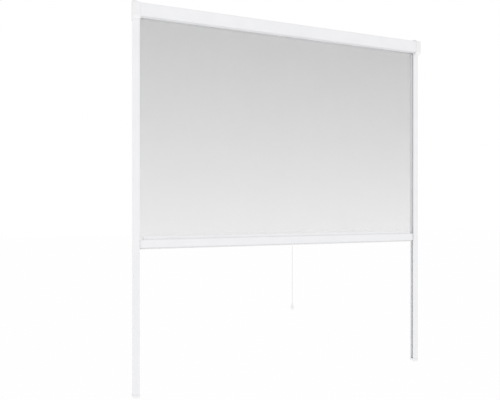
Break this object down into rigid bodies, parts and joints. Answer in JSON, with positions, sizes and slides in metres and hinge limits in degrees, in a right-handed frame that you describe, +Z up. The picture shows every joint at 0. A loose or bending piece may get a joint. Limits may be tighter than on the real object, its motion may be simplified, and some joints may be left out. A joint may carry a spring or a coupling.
{
  "type": "roller insect screen",
  "caption": "Roller insect screen for a window: a cassette winds the mesh, side rails guide a pull bar with a brush seal, and a pull cord hangs from the bar.",
  "frame": {"origin": "centre of the rectangle of the four outer wall screws, on the back plane that lies against the window frame or wall", "axes": "+X to the viewer's right along the cassette, +Y toward the wall, +Z up along the guide rails"},
  "size_m": [1.3, 0.0428, 1.463],
  "materials": {
    "white_metal": "extruded aluminium under a smooth white powder coat, satin",
    "white_plastic": "moulded, satin",
    "grey_brush": "dense short pile, light grey",
    "mesh_fabric": "fine woven glass yarn mesh, see-through",
    "bare_aluminium": "mill finish",
    "dark_plastic": "moulded",
    "steel": "zinc plated",
    "white_cord": "braided"
  },
  "bodies": {
    "frame": {"cassette_profile": "white_metal", "left_end_cap": "white_plastic", "right_end_cap": "white_plastic", "left_rail": "white_metal", "right_rail": "white_metal", "left_rear_brush": "grey_brush", "left_front_brush": "grey_brush", "right_rear_brush": "grey_brush", "right_front_brush": "grey_brush", "mouth_rear_brush": "grey_brush", "mouth_front_brush": "grey_brush", "left_foot": "white_plastic", "right_foot": "white_plastic", "wall_clips": "white_plastic", "roller_bearing": "dark_plastic", "shaft_holder": "dark_plastic", "spring_shaft": "steel", "spring_anchor": "dark_plastic", "roller_spring": "steel"},
    "roller": {"roller_tube": "bare_aluminium", "mesh_roll": "mesh_fabric", "left_roller_plug": "dark_plastic", "right_roller_plug": "dark_plastic"},
    "pull_bar": {"bar_profile": "white_metal", "mesh_keder": "white_plastic", "bar_brush": "grey_brush", "left_slider": "white_plastic", "right_slider": "white_plastic", "screen_mesh": "mesh_fabric", "cord_eyelet": "white_plastic", "pull_cord": "white_cord", "pull_knob": "white_plastic"}
  },
  "joints": [
    {"name": "bar_slide", "type": "slide", "parent": "frame", "child": "pull_bar", "axis": [0, 0, 1], "range_m": [-0.544, 0.8], "deforming": ["screen_mesh"]},
    {"name": "roller_spin", "type": "hinge", "parent": "frame", "child": "roller", "pos_m": [0, -0.0251, 0.7275], "axis": [1, 0, 0], "continuous": true}
  ],
  "couplings": [
    {"joint": "roller_spin", "follows": "bar_slide", "rad_per_m": 86.6}
  ]
}
